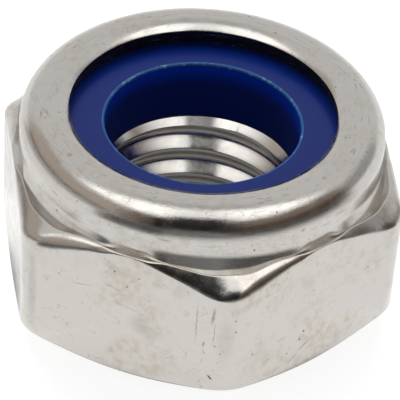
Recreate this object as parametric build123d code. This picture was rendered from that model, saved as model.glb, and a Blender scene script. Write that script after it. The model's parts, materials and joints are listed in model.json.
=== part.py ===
from build123d import *
import os
from math import cos, radians, sin, sqrt, tan

# Nylon insert lock nut, M10 x 1.5, for a 17 mm wrench.
# The steel body is cold formed in one piece: a hexagon with a turned collar, whose rim is rolled inwards over a
# nylon ring. The ring's bore is smaller than the screw, so the screw presses its own way through and is held.
# Millimetres, +Z up. The origin is the centre of the bearing face, and Z is the axis of the thread.

# ---- hexagon ----
across_flats = 17.0
nut_height = 9.7          # bearing face to the crest of the rolled rim
corner_round = 1.5        # upright edges, where the blank did not fill the die
shoulder_height = 7.25    # where the upper chamfer would meet the middle of a flat
shoulder_angle = 33.0     # fall of the upper chamfer, from the horizontal
edge_round = 0.25         # where the flats meet the upper chamfer
bearing_diameter = 15.0   # flat face that presses on the work
bearing_angle = 28.0      # rise of the lower chamfer, from the horizontal

# ---- collar and its rolled rim ----
collar_step = 0.3         # how far the middle of a flat stands outside the collar wall
neck_round = 0.2          # hollow between the collar wall and the upper chamfer
collar_wall = 1.0
rim_radius = 1.28         # outside of the roll
rim_turn = 135.0          # how far the wall is rolled over, from upright
rim_thickness = 1.22      # steel between the crest and the ring, upset by the rolling
rim_end_lean = 10.0       # undercut of the wall's sheared end
rim_fold = 0.3            # bevel inside the roll, which the ring's top edge takes up
rim_bite = 0.12           # how deep the rolled rim presses into the ring

# ---- thread, drawn as its minor diameter ----
thread_major = 10.0
thread_pitch = 1.5
entry_sink = 0.35         # how far the countersink in the bearing face reaches outside the thread
seat_sink = 0.36          # how far the one in the ring's seat reaches outside the minor diameter
sink_angle = 30.0         # both countersinks, from the horizontal

# ---- nylon ring ----
ring_grip = 1.2           # how much smaller its bore is than the screw
ring_thickness = 3.1
ring_fit = 0.02           # radial clearance to the collar wall
ring_chamfer = 0.12       # edges of its bore

# ---- worked out from the sizes above ----
flat_radius = across_flats / 2
collar_radius = flat_radius - collar_step
seat_radius = collar_radius - collar_wall
rim_middle = collar_radius - rim_radius
rim_height = nut_height - rim_radius
rim_underside = nut_height - rim_thickness
ring_top = rim_underside + rim_bite
seat_height = ring_top - ring_thickness
# The basic triangle of the thread is sqrt(3) / 2 of the pitch high, and 5/8 of it stands inside the major radius.
minor_radius = thread_major / 2 - 5 / 8 * sqrt(3) / 2 * thread_pitch
past_corners = across_flats
past_top = nut_height + rim_radius


def turned(*lines):
    """Solid of revolution about Z of a closed outline drawn as (radius, height)."""
    section = make_face([edge for line in lines for edge in line.edges()])
    return revolve(Plane.XZ * section, Axis.Z)


def shoulder(radius):
    """Height of the upper chamfer at a radius."""
    return shoulder_height - (radius - flat_radius) * tan(radians(shoulder_angle))


def outer_form():
    """Blank turned to its chamfers and collar, with the roll of the rim outside, solid through the middle."""
    bearing_radius = bearing_diameter / 2
    chamfer_end = (past_corners - bearing_radius) * tan(radians(bearing_angle))
    hollow = 90 - shoulder_angle
    neck_foot = collar_radius + neck_round * (1 - cos(radians(hollow)))
    neck_height = shoulder(neck_foot) + neck_round * sin(radians(hollow))
    roll = CenterArc((rim_middle, rim_height), rim_radius, 0, rim_turn)
    return turned(
        Polyline(
            roll @ 1, (0, (roll @ 1).Y), (0, 0), (bearing_radius, 0), (past_corners, chamfer_end),
            (past_corners, shoulder(past_corners)), (neck_foot, shoulder(neck_foot)),
        ),
        CenterArc((collar_radius + neck_round, neck_height), neck_round, 180, hollow),
        Line((collar_radius, neck_height), roll @ 0),
        roll,
    )


def bore():
    """Everything that is open inside: thread, seat of the ring, and mouth of the rolled rim."""
    entry = thread_major / 2 + entry_sink
    seat_entry = minor_radius + seat_sink
    fall = tan(radians(sink_angle))
    turn = radians(180 - rim_turn)
    lip = (rim_middle - rim_radius * cos(turn), rim_height + rim_radius * sin(turn))
    lip_foot = lip[0] + (lip[1] - rim_underside) * tan(radians(rim_end_lean))
    return turned(
        Polyline(
            (0, 0), (entry, 0), (minor_radius, (entry - minor_radius) * fall),
            (minor_radius, seat_height - seat_sink * fall), (seat_entry, seat_height),
            (seat_radius, seat_height), (seat_radius, rim_underside - rim_fold),
            (seat_radius - rim_fold, rim_underside), (lip_foot, rim_underside),
            lip, (lip[0], past_top), (0, past_top), (0, 0),
        ),
    )


def nut_body():
    """Hexagon, collar and rolled rim, one piece of stainless steel."""
    hexagon = extrude(
        fillet(RegularPolygon(flat_radius, 6, major_radius=False).vertices(), corner_round), past_top
    )
    blank = outer_form() & hexagon
    # Only where chamfers meet the flats and the round corners are the edges neither straight nor circles.
    chamfer_edges = blank.edges().filter_by(
        lambda edge: edge.geom_type not in (GeomType.LINE, GeomType.CIRCLE) and edge.center().Z > nut_height / 2
    )
    return fillet(chamfer_edges, edge_round) - bore()


def nylon_insert(body):
    """Ring between its seat and the rolled rim, whose underside and end have pressed their shape into it."""
    inner = (thread_major - ring_grip) / 2
    outer = seat_radius - ring_fit
    section = Pos(inner, seat_height) * Rectangle(outer - inner, ring_thickness, align=Align.MIN)
    bore_corners = section.vertices().group_by(Axis.X)[0]
    return revolve(Plane.XZ * chamfer(bore_corners, ring_chamfer), Axis.Z) - body


steel = nut_body()
os.makedirs("parts", exist_ok=True)
export_step(steel, "parts/nut_body.step")
export_step(nylon_insert(steel), "parts/nylon_insert.step")
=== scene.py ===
"""Nylon insert lock nut, M10 x 1.5: its steel body, its nylon ring, and the studio that they are seen in.

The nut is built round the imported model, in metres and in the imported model's frame: +Z up, the origin at the
centre of the bearing face, and a corner of the hexagon on +X.
"""

import json
import logging
from collections.abc import Callable
from dataclasses import dataclass, field
from enum import IntEnum
from math import atan2, ceil, cos, degrees, hypot, pi, prod, radians, sin, sqrt, tan

import bmesh
import bpy
from bmesh.types import BMEdge, BMesh
from bpy.types import ID, Material, Node, NodeSocket, NodeTree, Object, World
from mathutils import Euler, Matrix, Vector

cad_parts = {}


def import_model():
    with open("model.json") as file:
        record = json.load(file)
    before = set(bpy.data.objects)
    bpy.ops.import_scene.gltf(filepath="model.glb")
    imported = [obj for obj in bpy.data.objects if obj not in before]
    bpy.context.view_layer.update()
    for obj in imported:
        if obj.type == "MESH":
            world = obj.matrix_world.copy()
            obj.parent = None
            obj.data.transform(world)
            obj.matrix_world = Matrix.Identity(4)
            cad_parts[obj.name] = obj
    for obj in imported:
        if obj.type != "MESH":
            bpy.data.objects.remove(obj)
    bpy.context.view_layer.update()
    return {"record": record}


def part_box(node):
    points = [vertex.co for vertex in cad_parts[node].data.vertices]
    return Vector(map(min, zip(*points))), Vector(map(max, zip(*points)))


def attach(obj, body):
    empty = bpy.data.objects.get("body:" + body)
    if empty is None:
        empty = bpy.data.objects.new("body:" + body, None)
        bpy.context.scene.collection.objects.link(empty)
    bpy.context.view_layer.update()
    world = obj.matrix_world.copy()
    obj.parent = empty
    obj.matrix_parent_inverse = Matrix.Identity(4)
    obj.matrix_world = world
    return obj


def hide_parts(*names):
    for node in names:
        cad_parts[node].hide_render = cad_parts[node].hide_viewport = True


MM = 0.001
# From a corner of the hexagon to the middle of a flat, seen from the axis.
HALF_SIDE = pi / 6
# Points closer than these are one: ends of an outline, corners of a mesh, and those on a screw's end.
SAME_END = 1e-9
SAME_CORNER = 1e-7
SAME_CUT = 1e-8
# Clearance between the ring and the collar's wall, and how deep the rolled rim presses into the ring.
RING_FIT = 0.02 * MM
RIM_BITE = 0.12 * MM
log = logging.getLogger("lock_nut")


def smooth_step(share: float) -> float:
    """Returns share, held between 0 and 1, eased at both ends."""
    held = min(max(share, 0.0), 1.0)
    return held * held * (3 - 2 * held)


def blend(start: float, end: float, share: float) -> float:
    """Returns the value that lies a share of the way from start to end."""
    return start + (end - start) * share


def linear(colour: str) -> tuple[float, float, float, float]:
    """Turns an sRGB hex colour into the linear colour that Blender's sockets hold.

    Args:
        colour: The colour as "#rrggbb".

    Returns:
        Linear red, green and blue, and an alpha of 1.
    """
    shares = [int(colour[i : i + 2], 16) / 255 for i in (1, 3, 5)]
    # The numbers are those of the sRGB curve itself.
    red, green, blue = (c / 12.92 if c <= 0.04045 else ((c + 0.055) / 1.055) ** 2.4 for c in shares)
    return red, green, blue, 1.0


def add_node(tree: NodeTree, kind: str, inputs: dict | None = None, **settings: object) -> Node:
    """Adds a node with its settings and its links.

    Args:
        tree: The node tree that gets the node.
        kind: Blender's name for the kind of node, without the "ShaderNode" that it starts with.
        inputs: For each input, by name or number, its value or the socket that is linked to it.
        **settings: The node's own properties.

    Returns:
        The new node.
    """
    node = tree.nodes.new(f"ShaderNode{kind}")
    for name, value in settings.items():
        setattr(node, name, value)
    for key, value in (inputs or {}).items():
        if isinstance(value, NodeSocket):
            tree.links.new(value, node.inputs[key])
        else:
            node.inputs[key].default_value = value
    return node


def emptied(block: Material | World) -> NodeTree:
    """Returns the node tree of a material or a world, in use and with nothing in it."""
    block.use_nodes = True
    block.node_tree.nodes.clear()
    return block.node_tree


def folded(tree: NodeTree, operation: str, values: list[NodeSocket]) -> NodeSocket:
    """Adds nodes that work out one value from several.

    Args:
        tree: The node tree.
        operation: What joins them, such as "MULTIPLY" or "MAXIMUM".
        values: The values.

    Returns:
        The socket with the result.
    """
    result = values[0]
    for value in values[1:]:
        result = add_node(tree, "Math", {0: result, 1: value}, operation=operation).outputs[0]
    return result


def weighted_sum(tree: NodeTree, terms: list[tuple[NodeSocket, float]]) -> NodeSocket:
    """Adds nodes that work out a weighted sum.

    Args:
        tree: The node tree.
        terms: The values, each with its weight.

    Returns:
        The socket with the sum.
    """
    total: NodeSocket | float = 0.0
    for value, weight in terms:
        total = add_node(
            tree, "Math", {0: value, 1: weight, 2: total}, operation="MULTIPLY_ADD"
        ).outputs[0]
    return total


def placed(name: str, data: ID) -> Object:
    """Returns a new object of the scene that shows the data."""
    shown = bpy.data.objects.new(name, data)
    bpy.context.scene.collection.objects.link(shown)
    return shown


def meshed(name: str, mesh: BMesh) -> Object:
    """Turns a bmesh into an object of the scene.

    Args:
        name: Name of the object.
        mesh: The bmesh, which is freed.

    Returns:
        The object.
    """
    data = bpy.data.meshes.new(name)
    mesh.to_mesh(data)
    mesh.free()
    return placed(name, data)


class Outline:
    """Half of a turned form's section, drawn by a pen from point to point, as (radius, height)."""

    def __init__(self, radius: float, height: float) -> None:
        """Puts the pen down."""
        self.points = [Vector((radius, height))]
        self._start = self.points[0]

    def line(self, radius: float, height: float, steps: int = 1) -> "Outline":
        """Draws a straight line to a point, in equal steps."""
        return self.path(lambda share: self._start.lerp(Vector((radius, height)), share), steps)

    def arc(self, size: float, start: float, turn: float, steps: int) -> "Outline":
        """Draws an arc.

        Args:
            size: Radius of the arc.
            start: Direction from the arc's centre to the pen, in degrees from outwards.
            turn: Degrees that the arc runs, positive from outwards to up.
            steps: Number of equal steps.

        Returns:
            This outline.
        """
        centre = self.points[-1] - size * Vector((cos(radians(start)), sin(radians(start))))

        def place(share: float) -> Vector:
            """Returns the point at a share of the way round the arc."""
            angle = radians(start + turn * share)
            return centre + size * Vector((cos(angle), sin(angle)))

        return self.path(place, steps)

    def bend(self, corner: Vector, end: Vector, steps: int) -> "Outline":
        """Draws a curve that sets off towards a corner and comes in from it."""
        return self.path(
            lambda share: self._start.lerp(corner, share).lerp(corner.lerp(end, share), share), steps
        )

    def path(self, place: Callable[[float], Vector], steps: int) -> "Outline":
        """Draws any curve.

        Args:
            place: Gives the curve's point at a share of its way.
            steps: Number of equal steps of that share.

        Returns:
            This outline.
        """
        self._start = self.points[-1]
        self.points += [place(step / steps) for step in range(1, steps + 1)]
        return self


def spun(outline: Outline, steps: int, turns: int = 1, rise: float = 0.0) -> BMesh:
    """Spins an outline about Z.

    Args:
        outline: The section. It is a closed one if its last point is its first.
        steps: Steps in one turn.
        turns: Full turns, more than one only for a screw.
        rise: How far a screw climbs in one turn.

    Returns:
        The surface. Each vertex holds the number of its outline point in the integer layer "ring".
    """
    mesh = bmesh.new()
    ring = mesh.verts.layers.int.new("ring")
    closed = (outline.points[0] - outline.points[-1]).length < SAME_END
    for number, point in enumerate(outline.points[:-1] if closed else outline.points):
        vertex = mesh.verts.new((point.x, 0, point.y))
        vertex[ring] = number
    chain = list(mesh.verts)
    for first, second in zip(chain, chain[1:] + chain[:1] if closed else chain[1:]):
        mesh.edges.new((first, second))
    bmesh.ops.spin(
        mesh, geom=chain + list(mesh.edges), cent=(0, 0, 0), axis=(0, 0, 1), angle=2 * pi * turns,
        dvec=(0, 0, rise / steps), steps=steps * turns, use_merge=not rise,
    )
    bmesh.ops.remove_doubles(mesh, verts=mesh.verts, dist=SAME_CORNER)
    return mesh


def finished(mesh: BMesh, name: str, crease: float = 35.0) -> Object:
    """Turns a closed bmesh into an object with outward faces, smooth but for its creases.

    Args:
        mesh: The bmesh, which is freed.
        name: Name of the object.
        crease: Edges that turn more than this many degrees stay sharp.

    Returns:
        The object, linked to the scene.
    """
    bmesh.ops.recalc_face_normals(mesh, faces=mesh.faces)
    if mesh.calc_volume(signed=True) < 0:
        bmesh.ops.reverse_faces(mesh, faces=mesh.faces)
    for face in mesh.faces:
        face.smooth = True
    for edge in mesh.edges:
        edge.smooth = edge.calc_face_angle(0) < radians(crease)
    return meshed(name, mesh)


@dataclass(frozen=True)
class Mark:
    """A nick, a scratch or a stain in the steel: an ellipsoid of a darker colour.

    Its sizes are in millimetres, and its angles in degrees. The lean turns its long axis from upright
    towards growing azimuth. The depth is how dark its middle is, from 0 to 1.
    """

    azimuth: float
    height: float
    length: float
    width: float
    lean: float
    depth: float


@dataclass(frozen=True)
class ColdFormedSteel:
    """Stainless steel A2, cold formed and tumbled: bright, with soft forging marks, scratches and pits.

    Sizes are those of a pattern's largest bumps, heights are how far they stand out, and the rest are
    shares. Real grain and die lines are a few thousandths of a millimetre wide, too fine to show in the
    render, so the grain, the streaks and the pits are drawn as coarse as they need to show.
    """

    name: str = "cold_formed_stainless_steel"
    colour: str = "#d0cdc8"
    stain: str = "#c3baae"
    scratch: str = "#a39a8f"
    grime: str = "#4a443e"
    roughness: float = 0.165
    scratch_roughness: float = 0.08
    grime_roughness: float = 0.3
    grain: float = 0.11 * MM
    grain_height: float = 0.004 * MM
    streak_width: float = 0.06 * MM
    streak_turns: float = 9.0
    streak_height: float = 0.0025 * MM
    patch_size: float = 1.3 * MM
    haze_size: float = 2.6 * MM
    mottle_size: float = 0.4 * MM
    curl_size: float = 0.9 * MM
    curl_width: float = 0.014
    curled: float = 0.55
    collar_foot: float = 6.2 * MM
    collar_top: float = 8.8 * MM
    dent_height: float = 0.012 * MM
    pit_spacing: float = 0.55 * MM
    pit_core: float = 0.05
    pit_edge: float = 0.13
    pit_shade: float = 0.6
    pit_fade: float = 0.04
    pitted: float = 0.14
    mark_core: float = 0.35
    mark_edge: float = 1.3
    mark_shake: float = 1.2
    marks: tuple[Mark, ...] = (
        Mark(-64.9, 5.3, 1.0, 0.15, 5, 0.42),
        Mark(-64.4, 4.3, 1.3, 0.05, 2, 0.4),
        Mark(-69.1, 4.7, 2.3, 0.05, 0, 0.4),
        Mark(-66.9, 3.6, 0.35, 0.09, 12, 0.5),
        Mark(-66.7, 3.15, 0.3, 0.06, -20, 0.4),
        Mark(-67.2, 2.6, 0.45, 0.05, 14, 0.3),
        Mark(-64.8, 1.8, 0.32, 0.10, -48, 0.95),
        Mark(-34.7, 2.64, 0.14, 0.11, 0, 0.9),
        Mark(-36.0, 2.25, 0.16, 0.12, 0, 0.9),
        Mark(-53.2, 2.84, 0.12, 0.10, 0, 0.5),
        Mark(-64.0, 3.65, 0.12, 0.10, 0, 0.5),
        Mark(-59.1, 1.48, 0.14, 0.10, 0, 0.6),
        Mark(-48.4, 1.95, 0.45, 0.05, 60, 0.45),
        Mark(-34.2, 1.75, 0.75, 0.06, 62, 0.6),
        Mark(-38.2, 1.25, 0.7, 0.05, 58, 0.4),
        Mark(-103.6, 4.92, 1.0, 0.05, 82, 0.3),
        Mark(-94.5, 5.25, 0.9, 0.05, -74, 0.35),
        Mark(-89.5, 4.35, 1.7, 0.04, -80, 0.3),
        Mark(-84.5, 3.4, 1.6, 0.9, -70, 0.14),
        Mark(-61.5, 4.0, 2.6, 0.8, 0, 0.1),
        Mark(-118.0, 3.8, 4.6, 0.5, 0, 0.16),
    )

    def material(self, flat_radius: float) -> Material:
        """Builds the material.

        Args:
            flat_radius: Distance from the axis to a flat, where the marks are.

        Returns:
            The material.
        """
        made = bpy.data.materials.new(self.name)
        tree = emptied(made)
        place = add_node(tree, "TexCoord").outputs["Object"]
        lifted = add_node(tree, "SeparateXYZ", {0: place}).outputs["Z"]
        # Clouds from 0 to 1: what each follows, the size of its largest bumps, and its detail.
        clouds = {
            name: add_node(
                tree, "TexNoise",
                {"Vector": where, "Scale": 1 / size, "Detail": detail, "Roughness": 0.6},
            ).outputs["Fac"]
            for name, where, size, detail in (
                ("streaks", self._unrolled(tree, place), 1.0, 3.0),
                ("grain", place, self.grain, 3.0),
                ("dents", place, self.patch_size, 1.0),
                ("gloss", place, 0.5 * self.patch_size, 4.0),
                ("haze", place, self.haze_size, 2.0),
                ("mottle", place, self.mottle_size, 5.0),
                ("curls", place, self.curl_size, 4.0),
                ("breaks", place, 0.6 * self.curl_size, 3.0),
            )
        }
        centred = add_node(tree, "Math", {0: clouds["curls"], 1: 0.5}, operation="SUBTRACT").outputs[0]
        off_line = add_node(tree, "Math", {0: centred}, operation="ABSOLUTE").outputs[0]
        # One cell for each place that may have a pit. Its colour draws lots for whether it has one.
        cells = add_node(
            tree, "TexVoronoi", {"Vector": place, "Scale": 1 / self.pit_spacing, "Randomness": 1.0}
        )
        lots = add_node(tree, "SeparateXYZ", {0: cells.outputs["Color"]}).outputs["X"]
        # Smooth steps: what each follows, where it begins and ends, and its values there.
        steps = {
            name: add_node(
                tree, "MapRange",
                {"Value": value, "From Min": low, "From Max": high, "To Min": start, "To Max": end},
                interpolation_type="SMOOTHSTEP",
            ).outputs["Result"]
            for name, value, low, high, start, end in (
                ("haze", clouds["haze"], 0.46, 0.64, 0.05, 1.0),
                ("mottle", clouds["mottle"], 0.36, 0.68, 0.1, 1.0),
                ("cleaned", lifted, self.collar_foot, self.collar_top, 1.0, 0.45),
                ("streaks", clouds["streaks"], 0.57, 0.72, 0.0, 0.95),
                ("drawn", lifted, self.collar_foot, self.collar_top, 0.06, 1.0),
                ("curls", off_line, 0.0, self.curl_width, self.curled, 0.0),
                ("breaks", clouds["breaks"], 0.5, 0.62, 0.0, 1.0),
                ("gloss", clouds["gloss"], 0.35, 0.65, self.roughness - 0.05, self.roughness + 0.06),
                ("lots", lots, 1 - self.pitted, 1 + self.pit_fade - self.pitted, 0.0, self.pit_shade),
                ("pits", cells.outputs["Distance"], self.pit_core, self.pit_edge, 1.0, 0.0),
            )
        }

        # Drawing oil left a warm haze, mottled where tumbling rubbed it off, most of all on the collar.
        stained = folded(tree, "MULTIPLY", [steps["haze"], steps["mottle"], steps["cleaned"]])
        # The die drew fine scratches round the collar. Other parts in the drum left short, curled ones on
        # the flats: bits of a cloud's contour lines.
        rubbed = folded(tree, "MULTIPLY", [steps["streaks"], steps["drawn"]])
        curled = folded(tree, "MULTIPLY", [steps["curls"], steps["breaks"]])
        scratched = folded(tree, "MAXIMUM", [rubbed, curled])
        # Scale under the forming die left small pits, dark with what has settled in them.
        pits = folded(tree, "MULTIPLY", [steps["lots"], steps["pits"]])
        soiled = folded(tree, "MAXIMUM", [pits, *self._marks(tree, place, flat_radius)])
        colour: tuple[float, ...] | NodeSocket = linear(self.colour)
        for share, over in ((stained, self.stain), (scratched, self.scratch), (soiled, self.grime)):
            colour = add_node(
                tree, "Mix", {"Factor": share, 6: colour, 7: linear(over)}, data_type="RGBA"
            ).outputs[2]

        # Tumbling leaves the skin uneven, so its gloss is cloudy from one patch to the next.
        rough = weighted_sum(
            tree,
            [(steps["gloss"], 1.0), (scratched, self.scratch_roughness), (soiled, self.grime_roughness)],
        )
        # Heights are real ones: the grain and the scratches break up a highlight's edge.
        height = weighted_sum(
            tree,
            [
                (clouds["grain"], self.grain_height), (clouds["streaks"], self.streak_height),
                (clouds["dents"], self.dent_height), (soiled, -2 * self.grain_height),
            ],
        )
        relief = add_node(
            tree, "Bump", {"Strength": 1.0, "Distance": 1.0, "Height": height}
        ).outputs["Normal"]
        shader = add_node(
            tree, "BsdfPrincipled",
            {"Base Color": colour, "Metallic": 1.0, "Roughness": rough, "Normal": relief},
        )
        add_node(tree, "OutputMaterial", {"Surface": shader.outputs["BSDF"]})
        return made

    def _unrolled(self, tree: NodeTree, place: NodeSocket) -> NodeSocket:
        """Adds a place that is stretched round the nut, level on its flats and along its rolled rim.

        A pattern on it comes out as fine scratches, like those of the die and of the tumbling.

        Args:
            tree: The node tree.
            place: The place on the nut.

        Returns:
            The socket with the stretched place, in widths of a scratch.
        """
        split = add_node(tree, "SeparateXYZ", {0: place})
        facing = add_node(tree, "SeparateXYZ", {0: add_node(tree, "NewGeometry").outputs["Normal"]})
        flat = add_node(tree, "CombineXYZ", {"X": split.outputs["X"], "Y": split.outputs["Y"]})
        radius = add_node(tree, "VectorMath", {0: flat.outputs[0]}, operation="LENGTH").outputs["Value"]
        inwards = add_node(
            tree, "Math", {0: radius, 1: facing.outputs["Z"]}, operation="MULTIPLY"
        ).outputs[0]
        along = add_node(
            tree, "Math", {0: split.outputs["Z"], 1: inwards}, operation="SUBTRACT"
        ).outputs[0]
        level = add_node(
            tree, "Math", {0: along, 1: 1 / self.streak_width}, operation="MULTIPLY"
        ).outputs[0]
        turn = add_node(tree, "VectorMath", {0: flat.outputs[0]}, operation="NORMALIZE").outputs[0]
        wide = add_node(
            tree, "VectorMath", {0: turn, "Scale": self.streak_turns}, operation="SCALE"
        ).outputs[0]
        lifted = add_node(tree, "CombineXYZ", {"Z": level}).outputs[0]
        return add_node(tree, "VectorMath", {0: wide, 1: lifted}, operation="ADD").outputs[0]

    def _marks(self, tree: NodeTree, place: NodeSocket, flat_radius: float) -> list[NodeSocket]:
        """Adds the nicks, scratches and stains that have a place of their own.

        Args:
            tree: The node tree.
            place: The place on the nut.
            flat_radius: Distance from the axis to a flat.

        Returns:
            For each mark, the socket with how deep in it the place is, from 0 to 1.
        """
        ragged = add_node(
            tree, "TexNoise", {"Vector": place, "Scale": 1 / self.grain, "Detail": 2.0}
        ).outputs["Color"]
        shaken = add_node(
            tree, "VectorMath", {0: ragged, 1: (0.5, 0.5, 0.5)}, operation="SUBTRACT"
        ).outputs[0]
        moved = add_node(
            tree, "VectorMath", {0: shaken, 1: (self.mark_shake * self.grain,) * 3, 2: place},
            operation="MULTIPLY_ADD",
        ).outputs[0]
        found = []
        for mark in self.marks:
            azimuth = radians(mark.azimuth)
            radius = flat_radius / cos(HALF_SIDE - abs((azimuth + HALF_SIDE) % (2 * HALF_SIDE) - HALF_SIDE))
            centre = Vector((radius * cos(azimuth), radius * sin(azimuth), mark.height * MM))
            turn = Matrix.Rotation(azimuth, 3, "Z") @ Matrix.Rotation(radians(-mark.lean), 3, "X")
            local = add_node(
                tree, "Mapping",
                {
                    "Vector": moved, "Location": centre, "Rotation": turn.to_euler(),
                    "Scale": Vector((mark.length, mark.width / 2, mark.length / 2)) * MM,
                },
                vector_type="TEXTURE",
            ).outputs[0]
            away = add_node(tree, "VectorMath", {0: local}, operation="LENGTH").outputs["Value"]
            depth = add_node(
                tree, "MapRange",
                {
                    "Value": away, "From Min": self.mark_core, "From Max": self.mark_edge,
                    "To Min": mark.depth, "To Max": 0.0,
                },
                interpolation_type="SMOOTHSTEP",
            )
            found.append(depth.outputs["Result"])
        return found


@dataclass(frozen=True)
class MouldedNylon:
    """Polyamide 6.6, moulded and dyed deep blue: a low gloss skin over a colour almost black in shade.

    A cut edge is torn into paler fibres, drawn coarser than real ones so that they show. Where light
    comes in from above, a painted glow turns the colour to the lit one between two heights.
    """

    name: str = "moulded_blue_nylon"
    colour: str = "#00206c"
    frayed: str = "#00206c"
    fray: float = 0.25 * MM
    torn: float = 0.0
    torn_from: float = 0.56
    torn_to: float = 0.72
    lit: str = "#00206c"
    lit_from: float = 7.3 * MM
    lit_to: float = 8.6 * MM
    roughness: float = 0.3
    gloss: float = 0.2
    ior: float = 1.53

    def material(self) -> Material:
        """Builds the material.

        Returns:
            The material.
        """
        made = bpy.data.materials.new(self.name)
        tree = emptied(made)
        place = add_node(tree, "TexCoord").outputs["Object"]
        colour: tuple[float, ...] | NodeSocket = linear(self.colour)
        if self.lit != self.colour:
            # Painted glow: the bore's wall turns to the lit colour towards its top, for the light that comes in
            # through the top of the ring.
            lifted = add_node(tree, "SeparateXYZ", {0: place}).outputs["Z"]
            near_top = add_node(
                tree, "MapRange",
                {"Value": lifted, "From Min": self.lit_from, "From Max": self.lit_to},
                interpolation_type="SMOOTHSTEP",
            ).outputs["Result"]
            colour = add_node(
                tree, "Mix", {"Factor": near_top, 6: colour, 7: linear(self.lit)}, data_type="RGBA"
            ).outputs[2]
        if self.torn:
            cloud = add_node(
                tree, "TexNoise", {"Vector": place, "Scale": 1 / self.fray, "Detail": 3.0}
            ).outputs["Fac"]
            torn = add_node(
                tree, "MapRange",
                {"Value": cloud, "From Min": self.torn_from, "From Max": self.torn_to, "To Max": self.torn},
            ).outputs["Result"]
            colour = add_node(
                tree, "Mix", {"Factor": torn, 6: colour, 7: linear(self.frayed)}, data_type="RGBA"
            ).outputs[2]
        shader = add_node(
            tree, "BsdfPrincipled",
            {
                "Base Color": colour, "Roughness": self.roughness, "IOR": self.ior,
                "Specular IOR Level": self.gloss,
            },
        )
        add_node(tree, "OutputMaterial", {"Surface": shader.outputs["BSDF"]})
        return made


@dataclass
class Thread:
    """Internal thread M10 x 1.5, right-handed, cut by a tap that is taken out of the body."""

    minor_radius: float
    pitch: float = 1.5 * MM
    crest_width: float = 0.16 * MM
    flank: float = 45.0
    root_round: float = 0.34 * MM
    crest_round: float = 0.08 * MM
    phase: float = 0.25 * MM
    spare_turns: int = 2
    steps: int = 120

    def tap(self, low: float, high: float) -> Object:
        """Builds the tap, a screw of the thread's own form.

        Args:
            low: Height of its lower end.
            high: Height of its upper end.

        Returns:
            The tap, as a closed object.
        """
        lean = 90 - self.flank
        along = Vector((sin(radians(lean)), cos(radians(lean))))
        crest_cut = self.crest_round * tan(radians(lean / 2))
        root_cut = self.root_round * tan(radians(lean / 2))
        crest = Vector((self.minor_radius, self.crest_width / 2))
        # The root is one arc from flank to flank, so its rounding sets the depth.
        root = crest + along * (self.pitch / 2 - root_cut - crest.y) / along.y
        flank_end = root - along * root_cut
        tooth = Outline(crest.x, 0).line(crest.x, crest.y - crest_cut)
        tooth.arc(self.crest_round, 180, -lean, steps=6).line(*flank_end, steps=4)
        tooth.arc(self.root_round, -lean, lean, steps=6)
        mirrored = [Vector((point.x, self.pitch - point.y)) for point in reversed(tooth.points)]
        tooth.points += mirrored
        turns = ceil((high - low) / self.pitch) + self.spare_turns + 1
        mesh = spun(tooth, self.steps, turns, self.pitch)
        first = (low // self.pitch - self.spare_turns) * self.pitch
        bmesh.ops.translate(mesh, verts=mesh.verts, vec=(0, 0, first + self.phase))
        for height, side in ((low, -1), (high, 1)):
            cut = bmesh.ops.bisect_plane(
                mesh, geom=mesh.verts[:] + mesh.edges[:] + mesh.faces[:], dist=SAME_CUT,
                plane_co=(0, 0, height), plane_no=(0, 0, side), clear_outer=True,
            )
            rim = [edge for edge in cut["geom_cut"] if isinstance(edge, BMEdge)]
            bmesh.ops.contextual_create(mesh, geom=rim)
        return finished(mesh, "tap")


class SteelSkin(IntEnum):
    """How a face of the body was made, which is also the number of its material."""

    FORMED = 0
    # The rim's inward end face, which is painted dark as the shade under the rolled rim.
    RIM_END_PAINTED_SHADE = 1
    TAPPED = 2


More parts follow.
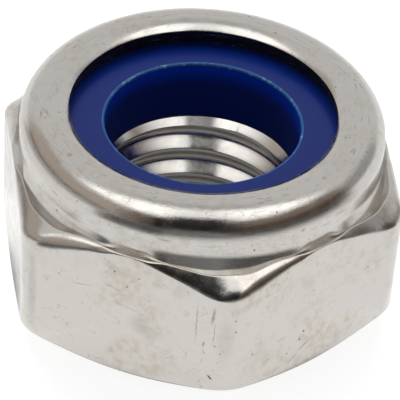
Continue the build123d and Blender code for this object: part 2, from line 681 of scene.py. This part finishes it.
@dataclass
class NutBody:
    """Steel body, one cold-formed piece: hexagon, collar, and a rim rolled inwards over the ring."""

    flat_radius: float
    height: float
    seat_height: float
    seat_radius: float
    ring_top: float
    minor_radius: float
    finish: ColdFormedSteel = field(default_factory=ColdFormedSteel)
    # The rim's inward end face is dull and dark: painted shade, for the shadow between the rolled rim and the
    # ring.
    shaded_rim_end: ColdFormedSteel = ColdFormedSteel(
        "steel_rim_end_painted_shade", colour="#3d3c40", stain="#2c2b2e", roughness=0.45, marks=()
    )
    # The tap burnished its flanks, so they are a little smoother than the skin, with no scratches or pits.
    tapped: ColdFormedSteel = ColdFormedSteel(
        "tapped_stainless_steel", stain="#cbc5bd", scratch="#d0cdc8", roughness=0.15,
        grain_height=0.001 * MM, streak_height=0.0, dent_height=0.004 * MM, curled=0.0, pitted=0.0,
        marks=(),
    )
    steps: int = 432

    # hexagon
    corner_round: float = 1.5 * MM
    bearing_radius: float = 7.5 * MM
    bearing_ease: float = 0.08 * MM
    bearing_angle: float = 28.0
    shoulder_height: float = 7.19 * MM
    shoulder_angle: float = 30.0
    foot_round: float = 0.025 * MM
    corner_foot_round: float = 0.23 * MM
    foot_growth: float = 3 * MM
    edge_round: float = 0.05 * MM
    edge_round_growth: float = 0.24
    edge_round_loss: float = 0.55 * MM
    loss_start: float = 3.4 * MM
    loss_fade: float = 1.4 * MM
    rolled_angle: float = 50.0
    roll_lead: float = 3.0
    roll_turn: float = 12.0
    roll_start: float = 1.1 * MM
    roll_fade: float = 0.8 * MM
    crest_round: float = 0.06 * MM
    # Shares of a straight stretch, which leave some of it, so that no step of the outline is empty.
    kept_chamfer: float = 0.5
    longest_cut: float = 0.9

    # collar, its foot, and the rolled rim
    wall_radius: float = 8.2 * MM
    rim_radius: float = 1.28 * MM
    rim_turn: float = 135.0
    rim_fold: float = 0.3 * MM
    lip_round: float = 0.06 * MM
    end_lean: float = 10.0
    flare_height: float = 7.6 * MM
    flare_slant: float = 0.0045 * MM
    flare_start: float = 0.5 * MM
    flare_fade: float = 1.3 * MM
    flare_angle: float = 18.5
    flare_bend: float = 0.14 * MM
    ledge_radius: float = 8.48 * MM
    crest_radius: float = 8.41 * MM
    corner_crest_radius: float = 8.73 * MM
    bump_start: float = 3.0
    bump_fade: float = 13.0
    bump_slant: float = 0.2
    trough_angle: float = 40.0

    # bore
    core_radius: float = 3.9 * MM
    entry_radius: float = 5.35 * MM
    seat_entry: float = 4.5 * MM
    seat_angle: float = 45.0
    sink_angle: float = 30.0
    tap_overrun: float = 1 * MM

    def hexagon_radius(self, azimuth: float) -> float:
        """Distance from the axis to the hexagon's side in a direction.

        Args:
            azimuth: Direction, in radians from +X.

        Returns:
            The distance, on a flat or on a rounded corner.
        """
        off_corner = (azimuth + HALF_SIDE) % (2 * HALF_SIDE) - HALF_SIDE
        centre = (self.flat_radius - self.corner_round) / cos(HALF_SIDE)
        tangent = atan2(self.corner_round / 2, centre + self.corner_round * cos(HALF_SIDE))
        if abs(off_corner) > tangent:
            return self.flat_radius / cos(HALF_SIDE - abs(off_corner))
        across = centre * sin(off_corner)
        return centre * cos(off_corner) + sqrt(self.corner_round**2 - across**2)

    def shoulder(self, radius: float) -> float:
        """Height of the upper chamfer at a radius."""
        return self.shoulder_height - (radius - self.flat_radius) * tan(radians(self.shoulder_angle))

    def section(self, azimuth: float) -> Outline:
        """Draws half of the body's section in a direction, from the bore's foot out, up and back inside.

        Args:
            azimuth: Direction, in radians from +X.

        Returns:
            The closed outline, with as many points in every direction.
        """
        side = self.hexagon_radius(azimuth)
        before_corner = degrees((HALF_SIDE - azimuth) % (2 * HALF_SIDE) - HALF_SIDE)
        off_corner = abs(before_corner)
        along_flat = side * sin(HALF_SIDE - radians(off_corner))
        flared = smooth_step((along_flat - self.flare_start) / self.flare_fade)
        worn = smooth_step((along_flat - self.loss_start) / self.loss_fade)
        rounding = self.edge_round + self.edge_round_growth * along_flat - self.edge_round_loss * worn
        shift = self.bump_slant * max(before_corner, 0)
        bump = 1 - smooth_step((off_corner - self.bump_start - shift) / self.bump_fade)
        raised = blend(self.crest_radius, self.corner_crest_radius, bump)
        crest_radius = blend(self.ledge_radius, raised, flared)
        before = smooth_step((before_corner + self.roll_lead) / self.roll_turn)
        rolled = blend(1, before, smooth_step((along_flat - self.roll_start) / self.roll_fade))
        bend_height = self.flare_height + self.flare_slant * before_corner

        fall = tan(radians(self.sink_angle))
        drawn = Outline(self.core_radius, (self.entry_radius - self.core_radius) * fall)
        drawn.line(self.entry_radius, 0, steps=5)
        drawn.line(self.bearing_radius - self.bearing_ease, 0, steps=6)
        self._lower_edge(drawn, side, along_flat)
        crest = Vector((crest_radius, self.shoulder(crest_radius)))
        self._upper_edge(drawn, side, crest, rounding, rolled)
        self._collar_foot(drawn, crest, bend_height, flared)
        self._rim(drawn)
        seat_fall = (self.seat_entry - self.core_radius) * tan(radians(self.seat_angle))
        drawn.line(self.seat_entry, self.seat_height, steps=4)
        drawn.line(self.core_radius, self.seat_height - seat_fall, steps=2)
        drawn.line(*drawn.points[0])
        return drawn

    def _lower_edge(self, drawn: Outline, side: float, along_flat: float) -> None:
        """Draws the lower chamfer and the foot of the flats.

        Args:
            drawn: The outline so far, which ends on the bearing face.
            side: Distance from the axis to the side of the hexagon.
            along_flat: Distance from the middle of the flat.
        """
        slope = radians(self.bearing_angle)
        foot = (side - self.bearing_radius) * tan(slope)
        grown = smooth_step(along_flat / self.foot_growth)
        rounding = blend(self.foot_round, self.corner_foot_round, grown)
        cut = rounding * tan((pi / 2 - slope) / 2)
        start = drawn.points[-1].x
        drawn.arc((self.bearing_radius - start) / tan(slope / 2), -90, self.bearing_angle, steps=3)
        drawn.line(side - cut * cos(slope), foot - cut * sin(slope), steps=8)
        drawn.arc(rounding, self.bearing_angle - 90, 90 - self.bearing_angle, steps=5)

    def _upper_edge(
        self, drawn: Outline, side: float, crest: Vector, rounding: float, rolled: float
    ) -> None:
        """Draws the flat, the rounded edge over it, and the upper chamfer up to its crest.

        Args:
            drawn: The outline so far, which ends at the foot of the flat.
            side: Distance from the axis to the side of the hexagon.
            crest: The chamfer's crest.
            rounding: Radius of the chamfer's outer edge.
            rolled: How far the die has rolled the chamfer over, from 0 to 1.
        """
        corner = Vector((side, self.shoulder(side)))
        cut = rounding * tan(radians((90 - self.shoulder_angle) / 2))
        foot = corner - Vector((0, cut))
        steep = crest.y - (side - crest.x) * tan(radians(self.rolled_angle))
        bend = Vector((side, blend(corner.y, steep, rolled)))
        width = (bend - crest).length
        near_crest = max(1 - self.crest_round / width, self.kept_chamfer)
        longest = self.longest_cut * near_crest
        top = bend.lerp(crest, blend(min(cut / width, longest), longest, rolled))
        drawn.line(*foot, steps=28).bend(bend, top, steps=16)
        drawn.line(*bend.lerp(crest, near_crest), steps=3)

    def _collar_foot(self, drawn: Outline, crest: Vector, bend_height: float, flared: float) -> None:
        """Draws the chamfer's crest, the trough behind it, and the collar's flared foot.

        Args:
            drawn: The outline so far, which ends just before the crest.
            crest: The crest.
            bend_height: Height where the wall bends out into the flare.
            flared: How far the collar's foot is flared, from 0 at the middle of a flat to 1.
        """
        lean = tan(radians(self.flare_angle)) * flared
        dip = tan(radians(self.trough_angle)) * flared
        radius = (self.wall_radius + lean * (bend_height - crest.y + dip * crest.x)) / (1 + lean * dip)
        foot = Vector((radius, crest.y - dip * (crest.x - radius)))
        bend = Vector((self.wall_radius, bend_height))
        below = bend.lerp(foot, min(self.flare_bend / (bend - foot).length, self.longest_cut))
        beyond = crest.lerp(foot, min(self.crest_round / (foot - crest).length, self.longest_cut))
        drawn.bend(crest, beyond, steps=6).line(*foot, steps=8).line(*below, steps=8)
        drawn.bend(bend, bend + Vector((0, self.flare_bend)), steps=8)
        drawn.line(self.wall_radius, self.height - self.rim_radius, steps=5)

    def _rim(self, drawn: Outline) -> None:
        """Draws the rolled rim, its end face, its underside on the ring, and the seat.

        Args:
            drawn: The outline so far, which ends at the top of the collar's wall.
        """
        middle = self.wall_radius - self.rim_radius
        drawn.arc(self.rim_radius, 0, self.rim_turn, steps=30)
        drawn.arc(self.lip_round, self.rim_turn, 180 + self.end_lean - self.rim_turn, steps=4)
        lip = drawn.points[-1]
        foot = lip.x + (lip.y - self.ring_top) * tan(radians(self.end_lean))
        drawn.line(foot, self.ring_top, steps=5).line(middle, self.ring_top, steps=2)
        drawn.line(self.seat_radius, self.ring_top - self.rim_fold, steps=2)
        drawn.line(self.seat_radius, self.seat_height, steps=3)

    def build(self) -> Object:
        """Spins the section, presses the hexagon into it, and cuts the thread.

        Returns:
            The steel body.
        """
        mesh = spun(self.section(0), self.steps)
        ring = mesh.verts.layers.int["ring"]
        sections: dict[int, list[Vector]] = {}
        for vertex in mesh.verts:
            azimuth = atan2(vertex.co.y, vertex.co.x)
            step = round(azimuth / (2 * pi) * self.steps) % self.steps
            turn = 2 * pi * step / self.steps
            if step not in sections:
                sections[step] = self.section(turn).points
            point = sections[step][vertex[ring]]
            vertex.co = Vector((point.x * cos(turn), point.x * sin(turn), point.y))
        tap = Thread(self.minor_radius).tap(-self.tap_overrun, self.seat_height + self.tap_overrun)
        piece = self._cut(finished(mesh, "steel_blank"), tap)
        for finish in (self.finish, self.shaded_rim_end, self.tapped):
            piece.data.materials.append(finish.material(self.flat_radius))
        return piece

    def _cut(self, body: Object, tap: Object) -> Object:
        """Takes the tap out of the body.

        Args:
            body: The blank, which is used up.
            tap: The tap, which is used up.

        Returns:
            The threaded body.
        """
        cut = body.modifiers.new("thread", "BOOLEAN")
        cut.operation, cut.solver, cut.object = "DIFFERENCE", "EXACT", tap
        shown = body.evaluated_get(bpy.context.evaluated_depsgraph_get())
        mesh = bmesh.new()
        mesh.from_mesh(shown.to_mesh())
        shown.to_mesh_clear()
        for used in (body, tap):
            bpy.data.objects.remove(used)
        for face in mesh.faces:
            middle = face.calc_center_median()
            inwards = -face.normal.xy.dot(middle.xy.normalized())
            # The rim's inward end face takes the dark steel: painted shade.
            if middle.z > self.ring_top and inwards > cos(radians(2 * self.end_lean)):
                face.material_index = SteelSkin.RIM_END_PAINTED_SHADE
            elif 0 < middle.z < self.seat_height and middle.xy.length < self.entry_radius:
                face.material_index = SteelSkin.TAPPED
        return finished(mesh, "steel_body")


class NylonSkin(IntEnum):
    """How a face of the ring was made, which is also the number of its material."""

    MOULDED = 0
    # The top edge of the bore, paler with a painted glow.
    EDGE_PAINTED_GLOW = 1
    # The wall of the bore, with a painted glow towards its top.
    BORE_PAINTED_GLOW = 2


@dataclass
class NylonInsert:
    """Nylon ring, trapped between its seat in the body and the rolled rim."""

    inner_radius: float
    outer_radius: float
    seat_height: float
    top: float
    finish: MouldedNylon = field(default_factory=MouldedNylon)
    # The edge of the bore is thin and frayed, and its paler blue is painted light: the glow of the light that
    # the thin edge catches.
    glowing_frayed_edge: MouldedNylon = MouldedNylon(
        "nylon_edge_painted_glow", colour="#125291", lit="#125291", frayed="#6493c3", torn=1.0, roughness=0.4,
        gloss=0.4,
    )
    # A punch made the bore, so it is dull, and its colour turns paler towards its top: a painted glow of the
    # light that comes through the ring.
    bore_with_painted_glow: MouldedNylon = MouldedNylon(
        "nylon_bore_painted_glow", colour="#0c2570", lit="#003fd0", roughness=0.5, gloss=0.04
    )
    edge_chamfer: float = 0.12 * MM
    crease: float = 50.0
    steps: int = 360

    def build(self) -> Object:
        """Spins the ring.

        Returns:
            The ring.
        """
        chamfer = self.edge_chamfer
        drawn = Outline(self.inner_radius, self.seat_height + chamfer)
        drawn.line(self.inner_radius + chamfer, self.seat_height, steps=3)
        drawn.line(self.outer_radius, self.seat_height, steps=6).line(self.outer_radius, self.top, steps=6)
        drawn.line(self.inner_radius + chamfer, self.top, steps=30).arc(chamfer, 90, 90, steps=6)
        drawn.line(self.inner_radius, self.seat_height + chamfer, steps=20)
        mesh = spun(drawn, self.steps)
        for face in mesh.faces:
            middle = face.calc_center_median()
            # In the bore, the top edge takes the edge's painted glow, and the wall below takes the bore's
            # finish, with its painted glow towards the top.
            if middle.xy.length < self.inner_radius + chamfer:
                cut = NylonSkin.EDGE_PAINTED_GLOW if middle.z > self.top - chamfer else NylonSkin.BORE_PAINTED_GLOW
                face.material_index = cut
        piece = finished(mesh, "nylon_ring", self.crease)
        for finish in (self.finish, self.glowing_frayed_edge, self.bore_with_painted_glow):
            piece.data.materials.append(finish.material())
        return piece


@dataclass(frozen=True)
class Panel:
    """A soft-edged panel of the tent, or of the mat on the table, as the nut's collar sees it.

    Azimuths are in degrees from the camera's side, positive to its right. Elevations are in degrees, below
    0 on the table. The tone is how bright the panel is, with 1 as white paper, and soft is the width of its
    edges in degrees.
    """

    first: float
    last: float
    low: float
    high: float
    tone: float
    soft: float = 10.0
    tint: str = "#ffffff"

    def cover(self, azimuth: float, elevation: float) -> float:
        """Works out how much of a direction the panel covers.

        Args:
            azimuth: The direction's azimuth, in degrees.
            elevation: Its elevation, in degrees.

        Returns:
            The share that is covered, from 0 to 1.
        """
        half = (self.last - self.first) / 2
        off = abs((azimuth - self.first - half + 180) % 360 - 180)
        inside = (half - off, elevation - self.low, self.high - elevation)
        return prod(smooth_step(depth / self.soft + 0.5) for depth in inside)


@dataclass(frozen=True)
class SoftBox:
    """A soft box over the nut.

    Its edges are shares of its height over the nut, to the camera's right and away from the camera.
    """

    left: float
    right: float
    front: float
    back: float
    glow: float


@dataclass
class Studio:
    """Table, tent, soft boxes and camera."""

    # The camera: its place round and over the nut in degrees, its roll, and the height that it aims at.
    azimuth: float = 18.618
    elevation: float = 38.578
    roll: float = 4.21
    distance: float = 106.993 * MM
    aim_height: float = 5.05 * MM
    # Its lens, in pixels of the square picture: the focal length, and the pixel that the lens points at.
    focal_pixels: float = 2343.57
    frame_pixels: float = 400.0
    lens_pixel_x: float = 198.374
    lens_pixel_y: float = 183.172
    sensor_width: float = 36.0
    clip_start: float = 10 * MM

    # tent and mat, as the middle of the collar sees them
    collar_height: float = 7.8 * MM
    collar_radius: float = 8.2 * MM
    cloth_steps: int = 144
    tent_radius: float = 400 * MM
    tent_tone: float = 0.72
    mat_radius: float = 11 * MM
    mat_height: float = 0.05 * MM

    # table and light
    world_light: float = 0.25
    table_reach: float = 1.5
    table_gap: float = 0.02 * MM
    paper_colour: str = "#9a9a9a"
    table_tone: float = 0.87
    shade_tone: float = 0.2
    shade_radius: float = 8.5 * MM
    shade_edge: float = 9.3 * MM
    box_height: float = 250 * MM
    soft_boxes: tuple[SoftBox, ...] = (SoftBox(-0.7, 0.4, 0.3, 1.4, 4.8),)
    # overhead, from the back to the front
    overhead: tuple[Panel, ...] = (
        Panel(100, 260, 68, 95, 0.57, 14),
        Panel(-100, 100, 76, 95, 0.85, 10),
        Panel(-92, 98, 42, 60, 0.9, 14),
        Panel(-88, -16, 46, 83, 1.7, 14),
        Panel(26, 94, 47, 83, 1.7, 14),
        Panel(-16, 26, 56, 84, 1.2, 12),
    )
    # round the sides and the front
    sides: tuple[Panel, ...] = (
        Panel(-128, -46, -2, 40, 0.5, 10, "#fff2e6"),
        Panel(-122, -50, 0, 9, 0.26, 6, "#fff2e6"),
        Panel(92, 130, 0, 28, 0.4, 14),
        Panel(-46, 94, -2, 40, 0.24, 12, "#ffe4d2"),
        Panel(26, 92, -2, 20, 0.1, 8, "#ffe4d2"),
        Panel(-29, 26, -2, 42, 0.02, 12),
        Panel(-17, 23, 30, 56, 0.035, 12),
        Panel(-13, 11, -2, 8, 0.19, 6),
        Panel(128, 235, -2, 4, 0.85, 8),
    )
    # mat on the table
    mats: tuple[Panel, ...] = (
        Panel(-180, 180, -90, 0, 1.0, 8),
        Panel(-180, 180, -40, 0, 0.93, 8),
        Panel(-50, 90, -31, 0, 0.68, 8),
        Panel(-51, 84, -20, 0, 0.27, 10),
        Panel(-125, -50, -10, 0, 0.5, 8),
        Panel(-50, -16, -31, 0, 0.22, 12),
        Panel(-44, -16, -20, 0, 0.1, 10),
        Panel(18, 92, -10, 0, 0.08, 8),
        Panel(-13, 11, -14, 0, 0.22, 6),
    )

    def build(self) -> None:
        """Builds everything that isn't the nut."""
        self._world()
        self._table()
        tent = Outline(self.tent_radius, 0).arc(self.tent_radius, 0, 90, steps=36)
        self._cloth("tent", tent, self.overhead + self.sides, self.tent_tone)
        # Its rings widen outwards, so they are fine near the nut, where they are seen best.
        widening = self.tent_radius / self.mat_radius
        mat = Outline(self.mat_radius, self.mat_height)
        mat.path(lambda share: Vector((self.mat_radius * widening**share, self.mat_height)), steps=40)
        self._cloth("mat", mat, self.mats, 0.0)
        for number, box in enumerate(self.soft_boxes):
            self._soft_box(number, box)
        self._camera()

    def _turned(self) -> Matrix:
        """Returns the turn from the camera's axes, with the camera on -Y, to the nut's."""
        return Matrix.Rotation(radians(self.azimuth), 4, "Z")

    def _seen(self, tree: NodeTree, away: float, seen: float) -> NodeSocket:
        """Adds the nodes that tell the camera and gloss from the light on rough surfaces.

        Args:
            tree: The node tree.
            away: The value for light on rough surfaces.
            seen: The value for what the camera, gloss and clear things show.

        Returns:
            The socket with the value.
        """
        light = add_node(tree, "LightPath").outputs
        rays = [light[kind] for kind in ("Is Camera Ray", "Is Glossy Ray", "Is Transmission Ray")]
        shown = folded(tree, "MAXIMUM", rays)
        chosen = add_node(tree, "MapRange", {"Value": shown, "To Min": away, "To Max": seen})
        return chosen.outputs["Result"]

    def _world(self) -> None:
        """Lights the table evenly, and is white to the camera and in gloss."""
        world = bpy.data.worlds.new("studio")
        bpy.context.scene.world = world
        tree = emptied(world)
        strength = self._seen(tree, self.world_light, 1.0)
        glow = add_node(tree, "Background", {"Color": (1, 1, 1, 1), "Strength": strength})
        add_node(tree, "OutputWorld", {"Surface": glow.outputs[0]})

    def _table(self) -> None:
        """Lays a white table top under the nut."""
        mesh = bmesh.new()
        bmesh.ops.create_grid(mesh, x_segments=8, y_segments=8, size=self.table_reach)
        bmesh.ops.translate(mesh, verts=mesh.verts, vec=(0, 0, -self.table_gap))
        table = meshed("table", mesh)
        # Uncoated paper, quite matt: it shows the nut's shadow and nothing of the nut itself.
        paper = bpy.data.materials.new("white_paper")
        tree = emptied(paper)
        diffuse = add_node(tree, "BsdfDiffuse", {"Color": linear(self.paper_colour)})
        # Under and round the nut, the paper's glow as gloss sees it is darkened: a painted shadow of the nut,
        # which shows in its lowest edges and in its bore. The camera sees the paper without it.
        place = add_node(tree, "TexCoord").outputs["Object"]
        away = add_node(tree, "VectorMath", {0: place}, operation="LENGTH").outputs["Value"]
        open_sky = add_node(
            tree, "MapRange",
            {
                "Value": away, "From Min": self.shade_radius, "From Max": self.shade_edge,
                "To Min": self.shade_tone,
            },
            interpolation_type="SMOOTHSTEP",
        ).outputs["Result"]
        camera = add_node(tree, "LightPath").outputs["Is Camera Ray"]
        shaded = add_node(tree, "Math", {0: open_sky, 1: camera}, operation="MAXIMUM").outputs[0]
        strength = add_node(
            tree, "Math", {0: self._seen(tree, 0.0, self.table_tone), 1: shaded}, operation="MULTIPLY"
        ).outputs[0]
        glow = add_node(tree, "Emission", {"Strength": strength})
        both = add_node(tree, "AddShader", {0: diffuse.outputs[0], 1: glow.outputs[0]})
        add_node(tree, "OutputMaterial", {"Surface": both.outputs[0]})
        table.data.materials.append(paper)

    def _cloth(self, name: str, outline: Outline, panels: tuple[Panel, ...], tone: float) -> None:
        """Spins a cloth round the nut and paints its panels on it. Only reflections show it.

        Args:
            name: Name of the cloth.
            outline: Its section.
            panels: Its panels, each painted over the ones before.
            tone: Tone of the bare cloth. At 0 it is clear.
        """
        mesh = spun(outline, self.cloth_steps)
        paint = mesh.verts.layers.float_color.new("paint")
        for vertex in mesh.verts:
            azimuth = degrees(atan2(vertex.co.x, -vertex.co.y))
            away = hypot(vertex.co.x, vertex.co.y) - self.collar_radius
            elevation = degrees(atan2(vertex.co.z - self.collar_height, away))
            colour = Vector((tone, tone, tone, 1.0 if tone else 0.0))
            for panel in panels:
                red, green, blue, _ = linear(panel.tint)
                target = Vector((panel.tone * red, panel.tone * green, panel.tone * blue, 1))
                cover = panel.cover(azimuth, elevation)
                # Where the cloth is clear, it takes the panel's colour whole, and only its opacity fades.
                bare = cover if colour.w else 1.0
                opacity = blend(colour.w, 1, cover)
                colour = colour.lerp(target, bare)
                colour.w = opacity
            vertex[paint] = colour
        bmesh.ops.transform(mesh, matrix=self._turned(), verts=mesh.verts)
        sheet = meshed(name, mesh)
        # Thin cloth lit from behind: an even glow, with no gloss of its own.
        cloth = bpy.data.materials.new(name)
        tree = emptied(cloth)
        painted = add_node(tree, "Attribute", attribute_name="paint")
        glow = add_node(tree, "Emission", {"Color": painted.outputs["Color"]})
        clear = add_node(tree, "BsdfTransparent")
        mixed = add_node(
            tree, "MixShader", {0: painted.outputs["Alpha"], 1: clear.outputs[0], 2: glow.outputs[0]}
        )
        add_node(tree, "OutputMaterial", {"Surface": mixed.outputs[0]})
        sheet.data.materials.append(cloth)
        sheet.visible_camera = sheet.visible_diffuse = False
        sheet.visible_shadow = sheet.visible_transmission = False

    def _soft_box(self, number: int, box: SoftBox) -> None:
        """Hangs a soft box over the nut, behind the tent's cloth.

        Args:
            number: Its number.
            box: Its place and its glow.
        """
        height = self.box_height
        lamp = bpy.data.lights.new(f"soft_box_{number}", "AREA")
        lamp.shape = "RECTANGLE"
        lamp.size, lamp.size_y = (box.right - box.left) * height, (box.back - box.front) * height
        lamp.energy = box.glow * pi * lamp.size * lamp.size_y
        hung = placed(lamp.name, lamp)
        hung.visible_camera = hung.visible_glossy = False
        middle = Vector(((box.left + box.right) / 2, (box.front + box.back) / 2, 1)) * height
        hung.matrix_world = self._turned() @ Matrix.Translation(middle)

    def _camera(self) -> None:
        """Aims the camera."""
        lens = bpy.data.cameras.new("camera")
        lens.sensor_width = self.sensor_width
        lens.lens = self.focal_pixels / self.frame_pixels * self.sensor_width
        lens.shift_x = 0.5 - self.lens_pixel_x / self.frame_pixels
        lens.shift_y = self.lens_pixel_y / self.frame_pixels - 0.5
        lens.clip_start = self.clip_start
        camera = placed("camera", lens)
        bpy.context.scene.camera = camera
        elevation = radians(self.elevation)
        back = Vector((0, -cos(elevation), sin(elevation)))
        middle = Vector((0, 0, self.aim_height)) + back * self.distance
        upright = Euler((pi / 2 - elevation, 0, 0)).to_matrix().to_4x4()
        turned = upright @ Matrix.Rotation(radians(self.roll), 4, "Z")
        camera.matrix_world = self._turned() @ Matrix.Translation(middle) @ turned


def main() -> None:
    """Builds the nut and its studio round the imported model."""
    logging.basicConfig(level=logging.INFO, format="%(name)s: %(message)s")
    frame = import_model()
    scene = bpy.context.scene
    scene.view_settings.view_transform = "Standard"

    body_low, body_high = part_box("nut_body")
    ring_low, ring_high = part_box("nylon_insert")
    mounts = {mount["name"]: mount for mount in frame["record"]["mounts"]}

    body = NutBody(
        flat_radius=body_high.y,
        height=body_high.z,
        seat_height=ring_low.z,
        seat_radius=ring_high.x + RING_FIT,
        ring_top=ring_high.z - RIM_BITE,
        minor_radius=mounts["thread"]["dims"]["r_mm"] * MM,
    )
    ring = NylonInsert(
        inner_radius=mounts["nylon_bore"]["dims"]["r_mm"] * MM,
        outer_radius=ring_high.x,
        seat_height=ring_low.z,
        top=ring_high.z,
    )
    for maker, node, slot in ((body, "nut_body", "stainless_steel"), (ring, "nylon_insert", "blue_nylon")):
        piece = maker.build()
        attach(piece, "root")
        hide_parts(node)
        log.info("%s: %d faces", piece.name, len(piece.data.polygons))

    Studio().build()


if __name__ == "__main__":
    main()
